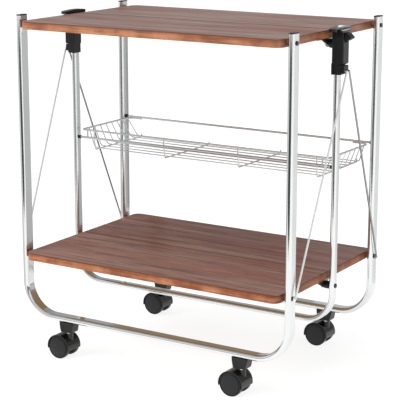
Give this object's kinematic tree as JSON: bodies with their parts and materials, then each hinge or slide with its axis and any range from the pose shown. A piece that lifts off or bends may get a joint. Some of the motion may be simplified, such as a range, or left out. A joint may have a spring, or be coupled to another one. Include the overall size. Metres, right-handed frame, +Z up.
{
  "type": "serving trolley",
  "caption": "Folding two-tier serving trolley with split wood shelves, chromed flat-oval tube frames, a hanging wire basket, black latch brackets and twin-wheel casters.",
  "frame": {"origin": "centre of the bounding box at floor level", "axes": "+X to the right along the length, -Y to the front, +Z up"},
  "size_m": [0.7032, 0.42, 0.7295],
  "materials": {
    "chrome_tube": "polished chrome plate",
    "chrome_wire": "chrome plated wire",
    "shelf_board": "walnut-coloured laminate with a light edge band",
    "hinge_steel": "zinc plated",
    "dark_bolts": "black",
    "bright_steel": "bright zinc",
    "wheel_plastic": "satin moulded",
    "gloss_black": "semi-gloss moulded",
    "matt_black": "fine texture"
  },
  "bodies": {
    "front_frame": {"front_frame_tube": "chrome_tube", "front_post_caps": "matt_black", "front_caster_sockets": "matt_black", "front_socket_screws": "bright_steel"},
    "middle_frame": {"middle_frame_tube": "chrome_tube", "bracket_housing_left": "matt_black", "bracket_housing_right": "matt_black", "handle_cap_left": "gloss_black", "handle_cap_right": "gloss_black", "lever_pins": "bright_steel", "upper_pivot_pins": "bright_steel", "lower_pivot_bolts": "dark_bolts", "lower_pivot_bosses": "matt_black"},
    "rear_frame": {"rear_frame_tube": "chrome_tube", "rear_post_caps": "matt_black", "rear_caster_sockets": "matt_black", "rear_socket_screws": "bright_steel"},
    "basket": {"basket_rim": "chrome_wire", "basket_wires": "chrome_wire", "basket_bushes": "matt_black"},
    "runner_left": {"runner_left": "matt_black"},
    "runner_right": {"runner_right": "matt_black"},
    "latch_left": {"latch_lever_left": "matt_black"},
    "latch_right": {"latch_lever_right": "matt_black"},
    "top_shelf_front": {"top_shelf_front": "shelf_board", "top_front_hinge_plates": "hinge_steel", "top_front_bolts": "dark_bolts", "top_front_spacers": "matt_black"},
    "top_shelf_rear": {"top_shelf_rear": "shelf_board", "top_rear_hinge_plates": "hinge_steel", "top_rear_bolts": "dark_bolts", "top_rear_spacers": "matt_black"},
    "lower_shelf_front": {"lower_shelf_front": "shelf_board", "lower_front_hinge_plates": "hinge_steel", "lower_front_bolts": "dark_bolts", "lower_front_spacers": "matt_black"},
    "lower_shelf_rear": {"lower_shelf_rear": "shelf_board", "lower_rear_hinge_plates": "hinge_steel", "lower_rear_bolts": "dark_bolts", "lower_rear_spacers": "matt_black"},
    "stay_front_left": {"stay_front_left": "chrome_wire"},
    "stay_front_right": {"stay_front_right": "chrome_wire"},
    "stay_rear_left": {"stay_rear_left": "chrome_wire"},
    "stay_rear_right": {"stay_rear_right": "chrome_wire"},
    "caster_front_left": {"caster_front_left_hood": "gloss_black", "caster_front_left_stem_axle": "bright_steel"},
    "wheel_front_left_a": {"caster_front_left_wheel_a": "wheel_plastic"},
    "wheel_front_left_b": {"caster_front_left_wheel_b": "wheel_plastic"},
    "caster_front_right": {"caster_front_right_hood": "gloss_black", "caster_front_right_stem_axle": "bright_steel"},
    "wheel_front_right_a": {"caster_front_right_wheel_a": "wheel_plastic"},
    "wheel_front_right_b": {"caster_front_right_wheel_b": "wheel_plastic"},
    "caster_rear_left": {"caster_rear_left_hood": "gloss_black", "caster_rear_left_stem_axle": "bright_steel"},
    "wheel_rear_left_a": {"caster_rear_left_wheel_a": "wheel_plastic"},
    "wheel_rear_left_b": {"caster_rear_left_wheel_b": "wheel_plastic"},
    "caster_rear_right": {"caster_rear_right_hood": "gloss_black", "caster_rear_right_stem_axle": "bright_steel"},
    "wheel_rear_right_a": {"caster_rear_right_wheel_a": "wheel_plastic"},
    "wheel_rear_right_b": {"caster_rear_right_wheel_b": "wheel_plastic"}
  },
  "joints": [
    {"name": "fold", "type": "hinge", "parent": "front_frame", "child": "top_shelf_front", "pos_m": [0, -0.183, 0.71], "axis": [1, 0, 0], "range_deg": [0, 87]},
    {"name": "middle_frame_turn", "type": "hinge", "parent": "top_shelf_front", "child": "middle_frame", "pos_m": [0, 0, 0.69], "axis": [1, 0, 0], "range_deg": [-87, 0]},
    {"name": "top_rear_fold", "type": "hinge", "parent": "middle_frame", "child": "top_shelf_rear", "pos_m": [0, 0, 0.69], "axis": [1, 0, 0], "range_deg": [-87, 0]},
    {"name": "rear_frame_turn", "type": "hinge", "parent": "top_shelf_rear", "child": "rear_frame", "pos_m": [0, 0.183, 0.71], "axis": [1, 0, 0], "range_deg": [0, 87]},
    {"name": "lower_front_fold", "type": "hinge", "parent": "middle_frame", "child": "lower_shelf_front", "pos_m": [0, 0, 0.198], "axis": [1, 0, 0], "range_deg": [0, 87]},
    {"name": "lower_rear_fold", "type": "hinge", "parent": "middle_frame", "child": "lower_shelf_rear", "pos_m": [0, 0, 0.198], "axis": [1, 0, 0], "range_deg": [-87, 0]},
    {"name": "basket_tilt", "type": "hinge", "parent": "middle_frame", "child": "basket", "pos_m": [0, 0, 0.443], "axis": [1, 0, 0], "range_deg": [-87, 0]},
    {"name": "runner_left_slide", "type": "slide", "parent": "middle_frame", "child": "runner_left", "axis": [0, 0, -1], "range_m": [0, 0.1665]},
    {"name": "stay_front_left_swing", "type": "hinge", "parent": "runner_left", "child": "stay_front_left", "pos_m": [-0.343, -0.005, 0.638], "axis": [1, 0, 0], "range_deg": [0, 20]},
    {"name": "stay_rear_left_swing", "type": "hinge", "parent": "runner_left", "child": "stay_rear_left", "pos_m": [-0.343, 0.005, 0.638], "axis": [1, 0, 0], "range_deg": [-20, 0]},
    {"name": "latch_left_press", "type": "hinge", "parent": "middle_frame", "child": "latch_left", "pos_m": [-0.332, 0, 0.706], "axis": [0, -1, 0], "range_deg": [0, 14], "stiffness_Nm_per_rad": 0.4, "springref_deg": -8.59},
    {"name": "runner_right_slide", "type": "slide", "parent": "middle_frame", "child": "runner_right", "axis": [0, 0, -1], "range_m": [0, 0.1665]},
    {"name": "stay_front_right_swing", "type": "hinge", "parent": "runner_right", "child": "stay_front_right", "pos_m": [0.343, -0.005, 0.638], "axis": [1, 0, 0], "range_deg": [0, 20]},
    {"name": "stay_rear_right_swing", "type": "hinge", "parent": "runner_right", "child": "stay_rear_right", "pos_m": [0.343, 0.005, 0.638], "axis": [1, 0, 0], "range_deg": [-20, 0]},
    {"name": "latch_right_press", "type": "hinge", "parent": "middle_frame", "child": "latch_right", "pos_m": [0.332, 0, 0.706], "axis": [0, 1, 0], "range_deg": [0, 14], "stiffness_Nm_per_rad": 0.4, "springref_deg": -8.59},
    {"name": "swivel_front_left", "type": "hinge", "parent": "front_frame", "child": "caster_front_left", "pos_m": [-0.214, -0.183, 0.066], "axis": [0, 0, 1], "continuous": true},
    {"name": "roll_front_left_a", "type": "hinge", "parent": "caster_front_left", "child": "wheel_front_left_a", "pos_m": [-0.229, -0.183, 0.025], "axis": [0, 1, 0], "continuous": true},
    {"name": "roll_front_left_b", "type": "hinge", "parent": "caster_front_left", "child": "wheel_front_left_b", "pos_m": [-0.229, -0.183, 0.025], "axis": [0, 1, 0], "continuous": true},
    {"name": "swivel_front_right", "type": "hinge", "parent": "front_frame", "child": "caster_front_right", "pos_m": [0.214, -0.183, 0.066], "axis": [0, 0, 1], "continuous": true},
    {"name": "roll_front_right_a", "type": "hinge", "parent": "caster_front_right", "child": "wheel_front_right_a", "pos_m": [0.199, -0.183, 0.025], "axis": [0, 1, 0], "continuous": true},
    {"name": "roll_front_right_b", "type": "hinge", "parent": "caster_front_right", "child": "wheel_front_right_b", "pos_m": [0.199, -0.183, 0.025], "axis": [0, 1, 0], "continuous": true},
    {"name": "swivel_rear_left", "type": "hinge", "parent": "rear_frame", "child": "caster_rear_left", "pos_m": [-0.214, 0.183, 0.066], "axis": [0, 0, 1], "continuous": true},
    {"name": "roll_rear_left_a", "type": "hinge", "parent": "caster_rear_left", "child": "wheel_rear_left_a", "pos_m": [-0.229, 0.183, 0.025], "axis": [0, 1, 0], "continuous": true},
    {"name": "roll_rear_left_b", "type": "hinge", "parent": "caster_rear_left", "child": "wheel_rear_left_b", "pos_m": [-0.229, 0.183, 0.025], "axis": [0, 1, 0], "continuous": true},
    {"name": "swivel_rear_right", "type": "hinge", "parent": "rear_frame", "child": "caster_rear_right", "pos_m": [0.214, 0.183, 0.066], "axis": [0, 0, 1], "continuous": true},
    {"name": "roll_rear_right_a", "type": "hinge", "parent": "caster_rear_right", "child": "wheel_rear_right_a", "pos_m": [0.199, 0.183, 0.025], "axis": [0, 1, 0], "continuous": true},
    {"name": "roll_rear_right_b", "type": "hinge", "parent": "caster_rear_right", "child": "wheel_rear_right_b", "pos_m": [0.199, 0.183, 0.025], "axis": [0, 1, 0], "continuous": true}
  ],
  "couplings": [
    {"joint": "middle_frame_turn", "follows": "fold", "ratio": -1},
    {"joint": "top_rear_fold", "follows": "fold", "ratio": -1},
    {"joint": "rear_frame_turn", "follows": "fold", "ratio": 1},
    {"joint": "lower_front_fold", "follows": "fold", "ratio": 1},
    {"joint": "lower_rear_fold", "follows": "fold", "ratio": -1},
    {"joint": "basket_tilt", "follows": "fold", "ratio": -1},
    {"joint": "runner_left_slide", "follows": "fold", "m_per_rad": 0.10946},
    {"joint": "stay_front_left_swing", "follows": "fold", "ratio": 0.22854},
    {"joint": "stay_rear_left_swing", "follows": "fold", "ratio": -0.22854},
    {"joint": "runner_right_slide", "follows": "fold", "m_per_rad": 0.10946},
    {"joint": "stay_front_right_swing", "follows": "fold", "ratio": 0.22854},
    {"joint": "stay_rear_right_swing", "follows": "fold", "ratio": -0.22854}
  ]
}
